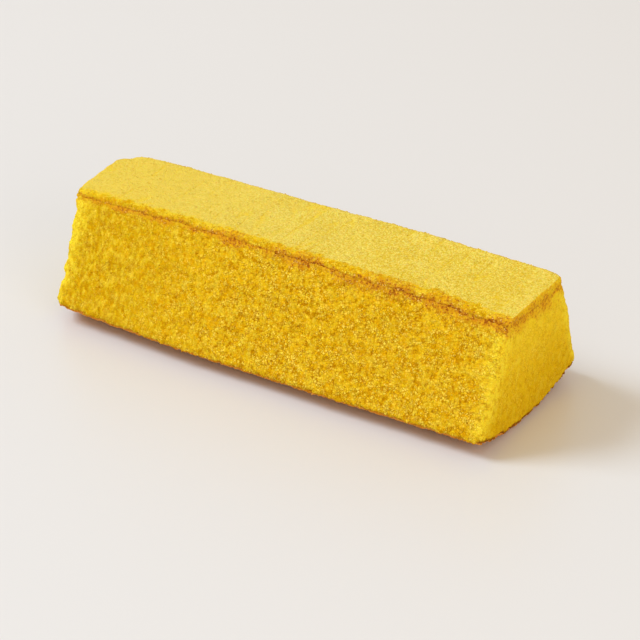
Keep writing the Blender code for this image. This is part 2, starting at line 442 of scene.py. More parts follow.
# ---- geometry trees
class CrumbRelief:
    """Geometry tree that gives an even mesh its crumb on the cut faces and its skin on one side."""

    INPUTS = {
        "Geometry": bpy.types.NodeSocketGeometry, "Neighbour": bpy.types.NodeSocketObject,
        "Skin Side": -1.0, "Skin Start": 0.45, "Skin Full": 0.80, "Skin Raggedness": 0.3,
        "Skin Border": 0.0, "Border Wander": 0.0, "Edge Softness": 6, "Pit Size": 1.25 * MM,
        "Pit Depth": 0.22 * MM, "Bump Size": 0.95 * MM, "Bump Height": 0.18 * MM, "Fine Size": 0.42 * MM,
        "Fine Height": 0.22 * MM, "Swell Size": 5.0 * MM, "Swell Height": 0.16 * MM, "Inset": 0.12 * MM,
        "Skin Grain": 0.55 * MM, "Skin Relief": 0.12 * MM, "Crease Depth": 0.12 * MM,
        "Seam Lap": 0.45 * MM, "Rim Crag": 0.0, "End Wear": 0.9 * MM, "Box Low": (-1.0, -1.0, 0.0),
        "Box High": (1.0, 1.0, 1.0), "Material": bpy.types.NodeSocketMaterial}
    # Which way a face looks, by one part of its normal.
    END_FACING = 0.80
    SIDE_FACING = 0.75
    BASE_FACING = 0.55
    SEAM_FACING = Ramp(-0.75, -0.95)
    RIM_FACING = Ramp(0.97, 0.90)
    # The border of the skin.
    RAG_SIZE = 1.3 * MM
    BORDER_RIGHTWARD = span(-70, 70, 0.7, 1.5)
    BORDER_SIZE = 3.2 * MM
    BORDER_FRAY_SIZE = 0.8 * MM
    LEAST_BORDER = 0.01 * MM
    # The crumb.
    CRUMB_DRAG = (1.0, 1.0, 0.72)
    SWELL_DRAG = (1.0, 1.0, 0.5)
    PIT_WALL = Ramp(0.60, 0.15)
    PIT_CHOICE = Ramp(0.45, 1.0)
    RAISED = Ramp(0.0, 0.75)
    COARSE_FROM_END = span(0.3, 2.2)
    COARSE_RIGHTWARD = span(-70, 0.0, 0.6, 1.0)
    # The skin's felt and its creases across the stick.
    FELT_DRAG = (1.0, 0.65, 1.0)
    FELT_RIGHTWARD = span(-60, 30, 0.45, 1.0)
    CREASE_DRAG = (1.0, 0.16, 1.0)
    CREASE_SPACING = 6.5 * MM
    CREASE_LINE = Ramp(0.040, 0.0)
    CREASE_PATCH_SIZE = 12 * MM
    CREASE_PATCH = Ramp(0.42, 0.62)
    # The ragged lower rim.
    CRAG_SIZE = 1.9 * MM
    CRAG = Ramp(0.58, 0.40)
    CRAG_ON_END = span(1.5, 0.2, 0.5, 1.0)
    RIM_WIDTH = span(1.8, 0.2)
    # The worn upright edges.
    WEAR_SIZE = 4.5 * MM
    WEAR = Ramp(0.36, 0.64)
    WEAR_LEFTWARD = span(60, -60, 0.35, 1.0)
    WEAR_FROM_EDGE = span(6.0, 1.0)
    WEAR_FROM_END = span(3.0, 0.3)
    LEAST_WEAR = 0.12

    def __init__(self) -> None:
        """Build the tree."""
        self.graph, self.given = new_tree("crumb_relief", GeometryGraph, self.INPUTS, "Geometry")
        self.place = self.graph.out("GeometryNodeInputPosition", "Position")
        self.normal = self.graph.out("GeometryNodeInputNormal", "Normal")
        self.along = self.place.part("X")
        self.below = self.normal.part("Z") * -1.0
        self.build()

    def masks(self, to_front: Signal) -> tuple[Signal, Signal, Signal, Signal]:
        """Work out where the faces are skin, seam and cut.

        Args:
            to_front: distance to the front's cut face.

        Returns:
            The smoothed normal and the shares of skin, of seam and of cut crumb.
        """
        graph, given, place = self.graph, self.given, self.place
        soft = graph.out("GeometryNodeBlurAttribute", "Value", {
            "Value": self.normal, "Iterations": given["Edge Softness"]}, data_type="FLOAT_VECTOR")
        soft = graph.vector("NORMALIZE", soft)
        ragged = soft.part("Z") * given["Skin Side"]
        ragged = ragged + graph.swing(place, self.RAG_SIZE, given["Skin Raggedness"], 3.0)
        border = given["Skin Border"] * self.along.ramp(self.BORDER_RIGHTWARD)
        inner = to_front + graph.swing(place, self.BORDER_SIZE, given["Border Wander"], 3.0)
        inner = inner + graph.swing(place, self.BORDER_FRAY_SIZE, given["Border Wander"] * 0.4)
        inner = inner.step(border * 0.6, border * 1.2)
        skin = ragged.step(given["Skin Start"], given["Skin Full"])
        skin = skin * inner.at_least(border.below(self.LEAST_BORDER))
        seam = (self.normal.part("Z") * given["Skin Side"]).ramp(self.SEAM_FACING)
        return soft, skin, seam, (1.0 - skin - seam).at_least(0.0)

    def distances(self) -> tuple[Signal, Signal, Signal]:
        """Measure how far each point is from the ends, the nearest upright edge and the front's cut.

        Returns:
            The distances to the ends, to the edge and to the front.
        """
        mesh, across = self.given["Geometry"], self.normal.part("Y")
        to_end = self.graph.reach(mesh, abs(self.normal.part("X")).above(self.END_FACING))
        to_front = self.graph.reach(mesh, across.below(-self.SIDE_FACING))
        to_back = self.graph.reach(mesh, across.above(self.SIDE_FACING))
        return to_end, to_end.at_least(to_front.at_most(to_back)), to_front

    def crumb(self, coarse: Signal) -> tuple[Signal, Signal]:
        """Shape the crumb.

        Args:
            coarse: share of coarse crumb, from 0 near the ends to 1 along the middle.

        Returns:
            The crumb's height and the share of it that is raised, from 0 in a pit to 1 on a top.
        """
        graph, given = self.graph, self.given
        dragged = self.place.stretched(self.CRUMB_DRAG)
        wandered = graph.wander(dragged, given["Bump Size"], given["Bump Size"] * 0.9)
        pits = graph.cells(wandered, given["Pit Size"])
        hollow = pits["Distance"].ramp(self.PIT_WALL) * pits["Color"].part("X").ramp(self.PIT_CHOICE)
        dome = 0.9 - graph.cells(wandered, given["Bump Size"])["Distance"] * 1.2
        fine = graph.noise(self.place, given["Fine Size"], 2.0, 0.6)
        height = (dome - 0.5) * given["Bump Height"] - hollow * given["Pit Depth"]
        height = height * coarse.lifted(0.12)
        height = height + (fine - 0.5) * (given["Fine Height"] * coarse.lifted(0.6))
        swell = given["Swell Height"] * coarse.lifted(0.4)
        height = height + graph.swing(self.place.stretched(self.SWELL_DRAG), given["Swell Size"], swell)
        raised = dome * 0.6 + fine * 0.4 - hollow * 0.6
        return height - given["Inset"], raised.ramp(self.RAISED)

    def skin_depth(self) -> tuple[Signal, Signal]:
        """Shape the skin: its felt, coarser to the right, and its creases across the stick.

        Returns:
            The depth and the share of crease.
        """
        graph, given, place = self.graph, self.given, self.place
        felt = graph.noise(place.stretched(self.FELT_DRAG), given["Skin Grain"], 3.0, 0.6)
        across = graph.wander(place.stretched(self.CREASE_DRAG), 3.0 * MM, 1.2 * MM)
        line = abs(graph.noise(across, self.CREASE_SPACING, 1.0) - 0.5)
        patch = graph.noise(place, self.CREASE_PATCH_SIZE, 1.0)
        crease = line.ramp(self.CREASE_LINE) * patch.ramp(self.CREASE_PATCH)
        depth = (1.0 - felt) * (self.along.ramp(self.FELT_RIGHTWARD) * given["Skin Relief"])
        return depth + crease * given["Crease Depth"], crease

    def lower_rim(self, to_end: Signal) -> tuple[Signal, Signal]:
        """Fray the lower rim.

        Args:
            to_end: distance to the ends.

        Returns:
            The depth, and the distance to the underside.
        """
        to_base = self.graph.reach(self.given["Geometry"], self.below.above(self.BASE_FACING))
        crag = self.graph.noise(self.place, self.CRAG_SIZE, 4.0, 0.65).ramp(self.CRAG)
        crag = crag * (self.given["Rim Crag"] * to_end.ramp(self.CRAG_ON_END))
        return crag * (to_base.ramp(self.RIM_WIDTH) * self.below.ramp(self.RIM_FACING)), to_base

    def wear(self, cut: Signal, to_end: Signal, to_edge: Signal) -> Signal:
        """Wear the upright edges down.

        Args:
            cut: share of cut crumb.
            to_end: distance to the ends.
            to_edge: distance to the nearest upright edge.

        Returns:
            The depth.
        """
        worn = self.graph.noise(self.place, self.WEAR_SIZE, 3.0, 0.6).ramp(self.WEAR)
        worn = worn * (self.given["End Wear"] * self.along.ramp(self.WEAR_LEFTWARD))
        worn = worn * to_edge.ramp(self.WEAR_FROM_EDGE).lifted(self.LEAST_WEAR)
        return worn * (cut * to_end.ramp(self.WEAR_FROM_END))

    def build(self) -> None:
        """Put the tree together."""
        graph, given = self.graph, self.given
        to_end, to_edge, to_front = self.distances()
        soft, skin, seam, cut = self.masks(to_front)
        coarse = to_end.ramp(self.COARSE_FROM_END) * self.along.ramp(self.COARSE_RIGHTWARD)
        height, raised = self.crumb(coarse)
        depth, crease = self.skin_depth()
        crag, to_base = self.lower_rim(to_end)
        shift = height * cut - depth * skin + seam * given["Seam Lap"] - crag
        shift = shift - self.wear(cut, to_end, to_edge)
        moved = graph.held(graph.vector("ADD", self.place, self.normal.scaled(shift)), given)
        neighbour = graph.out("GeometryNodeObjectInfo", "Geometry", {"Object": given["Neighbour"]})
        mesh = graph.store(given["Geometry"], Attribute.NORMAL, soft, "FLOAT_VECTOR")
        for attribute, value in (
                (Attribute.SEAM, graph.reach(neighbour)), (Attribute.SKIN, skin), (Attribute.CUT, cut),
                (Attribute.END, to_end), (Attribute.EDGE, to_edge), (Attribute.RIM, to_front),
                (Attribute.CREASE, crease), (Attribute.BASE, to_base), (Attribute.HEIGHT, raised)):
            mesh = graph.store(mesh, attribute, value)
        mesh = graph.out("GeometryNodeSetPosition", "Geometry", {"Geometry": mesh, "Position": moved})
        graph.finish({"Geometry": graph.out("GeometryNodeSetMaterial", "Geometry", {
            "Geometry": mesh, "Material": given["Material"]})})


class GrainScatter:
    """Geometry tree that sets small uneven grains into the faces of a crumb mesh."""

    INPUTS = {
        "Geometry": bpy.types.NodeSocketGeometry, "Where": Attribute.CUT.value,
        "Facing": (0.0, -1.0, 0.0), "Facing Limit": 0.6, "Spacing": 0.7 * MM, "Smallest": 0.28 * MM,
        "Largest": 0.60 * MM, "Sink": 0.10 * MM, "Dents": 0.35 * MM, "Pit Share": 0.50, "Gap Share": 0.22,
        "Seed": 1, "Box Low": (-1.0, -1.0, 0.0), "Box High": (1.0, 1.0, 1.0),
        "Material": bpy.types.NodeSocketMaterial}
    LEAST_SHARE = 0.45
    GAP_SIZE = 1.4 * MM
    GAP_START, GAP_END = 0.42, 0.56
    MOST_PER_CELL = 1.5
    SIZE_POWER = 1.6
    SIZE_FROM_END = span(0.5, 3.0, 0.72, 1.0)
    DENT_SIZE = 0.45 * MM

    def __init__(self, shape: GrainShape) -> None:
        """Build the tree.

        Args:
            shape: how its grains start out.
        """
        self.shape = shape
        name = "crumb_grains_" + shape.value
        self.graph, self.given = new_tree(name, GeometryGraph, self.INPUTS, "Geometry")
        self.place = self.graph.out("GeometryNodeInputPosition", "Position")
        self.build()

    def points(self) -> Signal:
        """Scatter the grains' places and lower them into the surface.

        Returns:
            The points.
        """
        graph, given = self.graph, self.given
        normal = graph.read(Attribute.NORMAL.value, "FLOAT_VECTOR")
        towards = graph.vector("DOT_PRODUCT", normal, given["Facing"])
        chosen = towards.above(given["Facing Limit"]) * graph.read(given["Where"]).above(self.LEAST_SHARE)
        kept = given["Pit Share"] + (1.0 - given["Pit Share"]) * graph.read(Attribute.HEIGHT.value)
        gaps = graph.noise(self.place, self.GAP_SIZE)
        kept = kept * gaps.step(self.GAP_START, self.GAP_END, given["Gap Share"], 1.0)
        most = graph.math("DIVIDE", self.MOST_PER_CELL, given["Spacing"] * given["Spacing"])
        points = graph.out("GeometryNodeDistributePointsOnFaces", "Points", {
            "Mesh": given["Geometry"], "Distance Min": given["Spacing"], "Density Max": most,
            "Density Factor": chosen * kept, "Seed": given["Seed"]}, distribute_method="POISSON")
        points = graph.store(points, Attribute.TONE, graph.random(0.0, 1.0, RandomSeed.TONE))
        return graph.out("GeometryNodeSetPosition", "Geometry", {
            "Geometry": points, "Offset": normal.scaled(given["Sink"] * -1.0)})

    def grain(self) -> tuple[Signal, Triple, Triple]:
        """Shape one grain.

        Returns:
            The grain, of radius 1, and its smallest and its largest stretch.
        """
        if self.shape is GrainShape.CLUMP:
            ball = self.graph.out("GeometryNodeMeshIcoSphere", "Mesh", {"Radius": 1.0, "Subdivisions": 1})
            return ball, (0.70, 0.70, 0.70), (1.20, 1.20, 1.20)
        bead = self.graph.out("GeometryNodeMeshUVSphere", "Mesh", {"Radius": 1.0, "Segments": 4, "Rings": 2})
        return bead, (0.55, 0.55, 0.90), (0.95, 0.95, 1.70)

    def build(self) -> None:
        """Put the tree together."""
        graph, given = self.graph, self.given
        grain, least, most = self.grain()
        spread = graph.random(0.0, 1.0, RandomSeed.SIZE) ** self.SIZE_POWER
        size = given["Smallest"] + spread * (given["Largest"] - given["Smallest"])
        size = size * graph.read(Attribute.END.value).ramp(self.SIZE_FROM_END)
        grains = graph.out("GeometryNodeInstanceOnPoints", "Instances", {
            "Points": self.points(), "Instance": grain,
            "Rotation": graph.random((0.0, 0.0, 0.0), (math.tau, math.tau, math.tau), RandomSeed.TURN),
            "Scale": graph.random(least, most, RandomSeed.STRETCH).scaled(size)})
        grains = graph.out("GeometryNodeRealizeInstances", "Geometry", {"Geometry": grains})
        dented = graph.held(graph.wander(self.place, self.DENT_SIZE, given["Dents"]), given)
        grains = graph.out("GeometryNodeSetPosition", "Geometry", {"Geometry": grains, "Position": dented})
        graph.finish({"Geometry": graph.out("GeometryNodeSetMaterial", "Geometry", {
            "Geometry": grains, "Material": given["Material"]})})


# ---- shader groups
class BrownedLine:
    """Shader group: specks of the browned line, thick along a wandering course and sparse beside it."""

    INPUTS = {
        "Place": bpy.types.NodeSocketVector, "Seam Distance": 1.0, "Side": 1.0, "Centre": 0.3 * MM,
        "Reach": 1.0 * MM, "Wander": 3.0 * MM, "Strength": 1.0}
    OUTPUTS = ("Tint", "Specks", "Core")
    COURSE_SIZE = 4.5 * MM
    FRAY_SIZE = 1.0 * MM
    SWELL_SIZE = 11.0 * MM
    SWELL = Ramp(0.36, 0.62, 0.5, 1.25)
    REACH_FROM_LEFT = span(-72, -10, 0.55, 0.95)
    REACH_TO_RIGHT = span(10, 45, 1.0, 1.15)
    PATCH_SIZE = 4.0 * MM
    PATCH = Ramp(0.36, 0.58)
    DENSE_SIZE = 6.0 * MM
    DENSE = Ramp(0.46, 0.60)
    DENSE_ASIDE = Ramp(1.3, 0.2)
    DENSE_RIGHTWARD = span(-30, 40, 0.02, 0.10)
    SPECK_SIZE = 0.70 * MM
    TINT_ASIDE = Ramp(2.2, 0.4)
    STRENGTH_RIGHTWARD = span(-72, 30, 0.6, 1.0)
    SPECKS = Ramp(0.38, 0.50)
    CORE = Ramp(0.49, 0.60)

    def __init__(self) -> None:
        """Build the group."""
        graph, given = new_tree("browned_line", Graph, self.INPUTS, *self.OUTPUTS)
        place, along = given["Place"], given["Place"].part("X")
        course = graph.swing(place, self.COURSE_SIZE, given["Wander"], 1.0)
        course = given["Seam Distance"] * given["Side"] + course
        course = course + graph.swing(place, self.FRAY_SIZE, given["Wander"] * 0.6, 3.0)
        reach = given["Reach"] * graph.noise(place, self.SWELL_SIZE, 1.0).ramp(self.SWELL)
        reach = reach * (along.ramp(self.REACH_FROM_LEFT) * along.ramp(self.REACH_TO_RIGHT))
        away = abs(course - given["Centre"]) / reach
        patch = graph.noise(place, self.PATCH_SIZE).ramp(self.PATCH)
        thin = away * 0.085 + (1.0 - patch) * 0.05
        dense = graph.noise(place, self.DENSE_SIZE, 1.0).ramp(self.DENSE) * away.ramp(self.DENSE_ASIDE)
        dense = dense * along.ramp(self.DENSE_RIGHTWARD)
        fine = graph.noise(place, self.SPECK_SIZE, 2.0, 0.6) - thin + dense
        strength = given["Strength"] * along.ramp(self.STRENGTH_RIGHTWARD)
        graph.finish({"Tint": away.ramp(self.TINT_ASIDE) * patch.lifted(0.55),
                      "Specks": fine.ramp(self.SPECKS) * strength,
                      "Core": fine.ramp(self.CORE) * strength})
        self.tree = graph.tree


class CrumbCrystals:
    """Shader group: small angular crumb crystals, pale in clusters and parted by thin gaps that take painted
    shade.
    """

    INPUTS = {
        "Place": bpy.types.NodeSocketVector, "Size": 0.62 * MM, "Cluster Size": 2.8 * MM, "Strength": 1.0,
        "Steepness": 1.2}
    OUTPUTS = ("Pale", "Gaps", "Facets")
    CLUSTER = Ramp(0.42, 0.58, 0.30, 1.0)
    PALE = Ramp(0.50, 0.66)
    INNER = Ramp(0.02, 0.14)
    GAP = Ramp(0.14, 0.02)

    def __init__(self) -> None:
        """Build the group."""
        graph, given = new_tree("crumb_crystals", Graph, self.INPUTS, *self.OUTPUTS)
        place, size, strength = given["Place"], given["Size"], given["Strength"]
        wandered = graph.wander(place, size, size * 0.7)
        cells = graph.cells(wandered, size)
        lean = graph.centred(cells["Color"]).scaled(given["Steepness"])
        within = graph.vector("SUBTRACT", wandered, cells["Position"])
        border = graph.cells(wandered, size, feature="DISTANCE_TO_EDGE")["Distance"]
        shown = graph.noise(place, given["Cluster Size"]).ramp(self.CLUSTER) * strength
        pale = cells["Color"].part("X").ramp(self.PALE) * border.ramp(self.INNER)
        graph.finish({"Pale": pale * shown, "Gaps": border.ramp(self.GAP) * shown,
                      "Facets": graph.vector("DOT_PRODUCT", within, lean) * strength})
        self.tree = graph.tree


class Mottle:
    """Shader group: uneven tone at two sizes and fine bump height, both from 0 to 1."""

    INPUTS = {
        "Place": bpy.types.NodeSocketVector, "Fine Size": 0.25 * MM, "Broad Size": 5.0 * MM,
        "Broad Share": 0.4}
    OUTPUTS = ("Tone", "Height")
    TONE = Ramp(0.30, 0.70)

    def __init__(self) -> None:
        """Build the group."""
        graph, given = new_tree("mottle", Graph, self.INPUTS, *self.OUTPUTS)
        fine = graph.noise(given["Place"], given["Fine Size"], 2.0, 0.6)
        broad = graph.noise(given["Place"], given["Broad Size"], 3.0, 0.55)
        tone = broad * given["Broad Share"] + fine * (1.0 - given["Broad Share"])
        graph.finish({"Tone": tone.ramp(self.TONE), "Height": fine})
        self.tree = graph.tree


# ---- finishes
@dataclass(frozen=True)
class CakeFinish:
    """Finish of baked crumb, with its browned line, painted light on its edges and its skin."""

    name: str
    # Deeper crumb colour, laid as painted shade in the hollows and in the gaps between crystals, and in the
    # dark streaks.
    pit: Colour = (0.54, 0.24, 0.001)
    amber: Colour = (0.80, 0.41, 0.002)
    # Painted shade, laid on the softer left part of the crumb and low on the ends.
    shade: Colour = (0.63, 0.405, 0.004)
    crumb: Colour = (0.84, 0.525, 0.010)
    straw: Colour = (0.88, 0.62, 0.035)
    # Pale crumb with painted light, laid on raised tops and on the pale crystals there.
    peak: Colour = (1.0, 0.76, 0.10)
    # Painted light along the upright edges and high on the ends.
    edge: Colour = (0.97, 0.755, 0.038)
    halo: Colour = (0.74, 0.35, 0.012)
    browned: Colour = (0.63, 0.25, 0.014)
    burnt: Colour = (0.38, 0.11, 0.008)
    tan: Colour = (0.90, 0.55, 0.12)
    rind: Colour = (0.30, 0.10, 0.008)
    skin_dark: Colour = (0.60, 0.20, 0.03)
    skin_light: Colour = (0.82, 0.36, 0.06)
    # Deeper skin colour by the front's cut; also painted shade in the creases, and laid more to the right so
    # the left looks paler, a painted sheen.
    skin_deep: Colour = (0.84, 0.57, 0.012)
    skin_felt: float = 0.30 * MM
    skin_bump: float = 0.05 * MM
    skin_facets: float = 0.0
    fringe_reach: float = 0.0
    # Width and share of the painted light along the upright edges.
    edge_reach: float = 5.4 * MM
    edge_share: float = 0.75
    base_reach: float = 0.50 * MM
    rough: float = 0.60
    rough_skin: float = 0.75
    specular: float = 0.0
    glow: float = 0.20
    glow_colour: Colour = (1.0, 0.50, 0.10)
    glow_depth: float = 1.0 * MM
    crumb_bump: float = 0.10 * MM
    crystal: float = 0.68 * MM
    crystal_lean: float = 0.85
    crystal_share: float = 0.60
    # Share of painted shade in the gaps between crystals.
    gap_share: float = 1.0
    line_side: float = 1.0
    line_centre: float = 0.10 * MM
    line_reach: float = 1.25 * MM
    line_end_reach: float = 2.0 * MM
    line_wander: float = 4.0 * MM
    grain_tones: bool = False

    # Along the stick: the crumb is softer to the left and crisper to the right, with painted shade on the
    # left.
    CRYSTALS_RIGHTWARD = span(-70, 5, 0.34, 1.0)
    CRISP_RIGHTWARD = span(-70, -5, 0.35, 1.0)
    AMBER_RIGHTWARD = span(-60, -10, 0.45, 0.68)
    STREAKS_LEFTWARD = span(-62, -15, 1.0, 0.0)
    FELT_RIGHTWARD = span(-60, 55, 0.35, 1.7)
    FELT_DEEPER_LEFT = span(-70, 10, 0.16, 0.0)
    CREASES_RIGHTWARD = span(-20, 30, 0.40, 0.55)
    # Skin deeper to the right, so the left stays paler: a painted sheen of the light from the left.
    SKIN_DEEPER_RIGHT = span(-20, 70, 0.0, 0.20)
    # Away from the ends and edges, and by height: painted shade low on the ends, painted light high on them.
    CRYSTALS_FROM_END = span(0.2, 1.3, 0.65, 1.0)
    COARSE_FROM_END = span(0.2, 1.3, 0.45, 1.0)
    BAND_FULL = 0.5 * MM
    SHADE_DOWNWARD = span(12.0, -12.0, 0.02, 0.42)
    PALER_UPWARD = span(-6.0, 24.0, 0.0, 0.60)
    # By the patterns themselves.
    SKIN = Ramp(0.20, 0.80)
    SKIN_DRAG = (1.0, 0.65, 1.0)
    CLOUD_DRAG = (1.0, 1.0, 0.6)
    CLOUD_SIZE = 2.2 * MM
    AMBER_CLOUD = Ramp(0.50, 0.64)
    STRAW_CLOUD = Ramp(0.47, 0.34)
    STREAK_DRAG = (1.0, 1.0, 0.40)
    STREAK_SIZE = 1.2 * MM
    DARK_STREAK = Ramp(0.47, 0.62)
    STRAW_STREAK = Ramp(0.46, 0.34)
    # Hollows get painted shade and raised tops painted light, by the crumb's height mixed with random tone.
    GRAIN_HOLLOW, GRAIN_PALE = Ramp(0.34, 0.10), Ramp(0.46, 0.80, 0.0, 0.45)
    CRUMB_HOLLOW, CRUMB_PALE = Ramp(0.40, 0.12), Ramp(0.66, 0.98, 0.0, 0.5)
    # Pale crystals only on raised crumb: painted light on the tops.
    CRYSTAL_RAISED = Ramp(0.15, 0.60, 0.45, 1.08)
    CRYSTAL_COARSE = Ramp(0.45, 1.0, 0.4, 1.0)
    EDGE_TONE = Ramp(0.15, 0.55, 0.35, 1.0)
    TAN_GRAIN = Ramp(0.50, 0.62)

    def material(self, groups: dict[str, Tree]) -> Material:
        """Build the material.

        Args:
            groups: the shared shader groups by name.

        Returns:
            The material.
        """
        material = bpy.data.materials.new(self.name)
        material.use_nodes = True
        graph = FinishGraph(material.node_tree, groups)
        shader = material.node_tree.nodes["Principled BSDF"]
        share = graph.read(Attribute.SKIN).ramp(self.SKIN)
        crumb_mottle = graph.group("mottle", {
            "Fine Size": 0.35 * MM, "Broad Size": 2.6 * MM, "Broad Share": 0.25})
        skin_mottle = graph.group("mottle", {
            "Place": graph.place.stretched(self.SKIN_DRAG), "Fine Size": self.skin_felt,
            "Broad Size": 9.0 * MM, "Broad Share": 0.18})
        strength = graph.along.ramp(self.CRYSTALS_RIGHTWARD).at_least(graph.end)
        strength = strength * graph.from_end.ramp(self.CRYSTALS_FROM_END)
        crystals = graph.group("crystals", {
            "Size": self.crystal, "Steepness": self.crystal_lean, "Strength": strength})
        crumb = self.browning(graph, self.crumb_colour(graph, crumb_mottle, crystals))
        skin = self.skin_colour(graph, skin_mottle)
        graph.feed(shader.inputs["Base Color"], graph.mix(share, crumb, skin))
        graph.feed(shader.inputs["Roughness"], graph.out("ShaderNodeMapRange", "Result", {
            "Value": share, "To Min": self.rough, "To Max": self.rough_skin}))
        crumb_bumps = crumb_mottle["Height"] * self.crumb_bump + crystals["Facets"]
        skin_bumps = skin_mottle["Height"] * self.skin_bump + crystals["Facets"] * self.skin_facets
        graph.feed(shader.inputs["Normal"], graph.out("ShaderNodeBump", "Normal", {
            "Strength": 1.0, "Distance": 1.0, "Height": (1.0 - share) * crumb_bumps + share * skin_bumps}))
        for name, value in (("Specular IOR Level", self.specular), ("Subsurface Weight", self.glow),
                            ("Subsurface Radius", self.glow_colour), ("Subsurface Scale", self.glow_depth)):
            shader.inputs[name].default_value = value
        return material

    def crumb_colour(self, graph: FinishGraph, mottle: Signals, crystals: Signals) -> Signal:
        """Colour of the cut crumb: amber patches in a golden field, painted shade in hollows, painted light
        on tops.

        Args:
            graph: the material's graph.
            mottle: what the mottle group gives out.
            crystals: what the crystals group gives out.

        Returns:
            The colour.
        """
        place, along, end = graph.place, graph.along, graph.end
        coarse = graph.from_end.ramp(self.COARSE_FROM_END)
        crisp = along.ramp(self.CRISP_RIGHTWARD).at_least(end)
        cloud = graph.noise(place.stretched(self.CLOUD_DRAG), self.CLOUD_SIZE)
        patch = cloud.ramp(self.AMBER_CLOUD) * along.ramp(self.AMBER_RIGHTWARD)
        streak = graph.noise(place.stretched(self.STREAK_DRAG), self.STREAK_SIZE)
        streaked = along.ramp(self.STREAKS_LEFTWARD) * (1.0 - end)
        own, fine = graph.read(Attribute.HEIGHT), mottle["Tone"]
        if self.grain_tones:
            tone = graph.read(Attribute.TONE) * 0.45 + fine * 0.10 + own * 0.45
            hollow = tone.ramp(self.GRAIN_HOLLOW) * 0.8
            pale = tone.ramp(self.GRAIN_PALE)
        else:
            tone = own * 0.72 + fine * 0.28
            hollow = tone.ramp(self.CRUMB_HOLLOW) * coarse
            pale = tone.ramp(self.CRUMB_PALE)
        # Painted shade in the thin gaps between crystals; painted light on the pale crystals of raised tops.
        gaps = crystals["Gaps"] * self.gap_share
        raised = own.ramp(self.CRYSTAL_RAISED) * self.crystal_share
        crystal = crystals["Pale"] * raised * coarse.ramp(self.CRYSTAL_COARSE)
        pale = (pale * crisp * (0.2 + coarse * 0.8)).at_least(crystal)
        # Painted light along the upright edges, stronger higher up, and on the ends towards the top.
        near = graph.read(Attribute.EDGE) + graph.swing(place, 2.5 * MM, 6.0 * MM, 3.0)
        near = (near - graph.upward * 0.14).step(self.edge_reach, self.BAND_FULL)
        near = (near * tone.ramp(self.EDGE_TONE)).at_least(graph.upward.ramp(self.PALER_UPWARD) * end)
        # Painted shade on the left part, low on the ends, in hollows and gaps; painted light on edges and
        # tops.
        return graph.washed(
            self.crumb,
            (1.0 - crisp, self.shade),
            (patch * coarse, self.amber),
            (cloud.ramp(self.STRAW_CLOUD) * 0.6, self.straw),
            (streak.ramp(self.DARK_STREAK) * (streaked * 0.55), self.pit),
            (streak.ramp(self.STRAW_STREAK) * (streaked * 0.70), self.straw),
            (end * graph.upward.ramp(self.SHADE_DOWNWARD), self.shade),
            (hollow * crisp, self.pit),
            (gaps, self.pit),
            (near * (1.0 - gaps * 0.50) * self.edge_share, self.edge),
            (pale, self.peak))

    def skin_colour(self, graph: FinishGraph, mottle: Signals) -> Signal:
        """Colour of the baked skin: deeper by the front's cut, painted shade in creases, painted sheen on
        the left.

        Args:
            graph: the material's graph.
            mottle: what the mottle group gives out.

        Returns:
            The colour.
        """
        tone, along = mottle["Tone"], graph.along
        if self.grain_tones:
            tone = tone * 0.4 + graph.read(Attribute.TONE) * 0.6
        if not self.fringe_reach:
            return graph.mix(tone, self.skin_dark, self.skin_light)
        tone = 0.5 + (tone - 0.5) * along.ramp(self.FELT_RIGHTWARD) - along.ramp(self.FELT_DEEPER_LEFT)
        # Painted shade in the creases.
        crease = graph.read(Attribute.CREASE) * along.ramp(self.CREASES_RIGHTWARD)
        worn = graph.read(Attribute.RIM) + graph.swing(graph.place, 2.4 * MM, 8.0 * MM, 3.0)
        fringe = worn.step(self.fringe_reach, self.BAND_FULL) * 0.75
        # Deeper to the right: a painted sheen leaves the left paler.
        deep = crease.at_least(along.ramp(self.SKIN_DEEPER_RIGHT)).at_least(fringe)
        return graph.washed(self.skin_dark, (tone, self.skin_light), (deep, self.skin_deep))

    def browning(self, graph: FinishGraph, colour: Signal) -> Signal:
        """Lay the browned line and the browned lower rim over the crumb's colour.

        Args:
            graph: the material's graph.
            colour: the crumb's colour.

        Returns:
            The browned colour.
        """
        end = graph.end
        line = graph.group("browned_line", {
            "Seam Distance": graph.read(Attribute.SEAM), "Side": self.line_side,
            "Centre": self.line_centre, "Wander": self.line_wander, "Strength": 1.0 - end * 0.45,
            "Reach": self.line_reach + end * (self.line_end_reach - self.line_reach)})
        colour = graph.washed(colour, (line["Tint"] * (0.95 - end * 0.3), self.halo),
                              (line["Specks"], self.browned), (line["Core"], self.burnt))
        if self.grain_tones:
            pale = graph.read(Attribute.TONE).ramp(self.TAN_GRAIN)
            colour = graph.mix(pale * line["Specks"], colour, self.tan)
        if not self.base_reach:
            return colour
        low = graph.read(Attribute.BASE) + graph.swing(graph.place, 0.9 * MM, 1.8 * MM, 3.0)
        reach = self.base_reach * (1.0 + end * 2.4)
        return graph.mix(low.step(reach, reach * 0.4), colour, graph.mix(end, self.browned, self.rind))


# ---- pieces
def set_inputs(target: Object, tree: Tree, values: dict[str, Value]) -> None:
    """Give an object a geometry tree and set the tree's inputs.

    Args:
        target: the object.
        tree: the geometry tree.
        values: the inputs by name.
    """
    modifier = target.modifiers.new(tree.name, "NODES")
    modifier.node_group = tree
    for item in tree.interface.items_tree:
        if item.in_out == "INPUT" and item.name in values:
            modifier[item.identifier] = values[item.name]


def placed(name: str, data: bpy.types.ID) -> Object:
    """Put a mesh, a lamp or a camera into the scene.

    Args:
        name: the object's name.
        data: its mesh, lamp or camera.

    Returns:
        The object.
    """
    made = bpy.data.objects.new(name, data)
    bpy.context.scene.collection.objects.link(made)
    return made


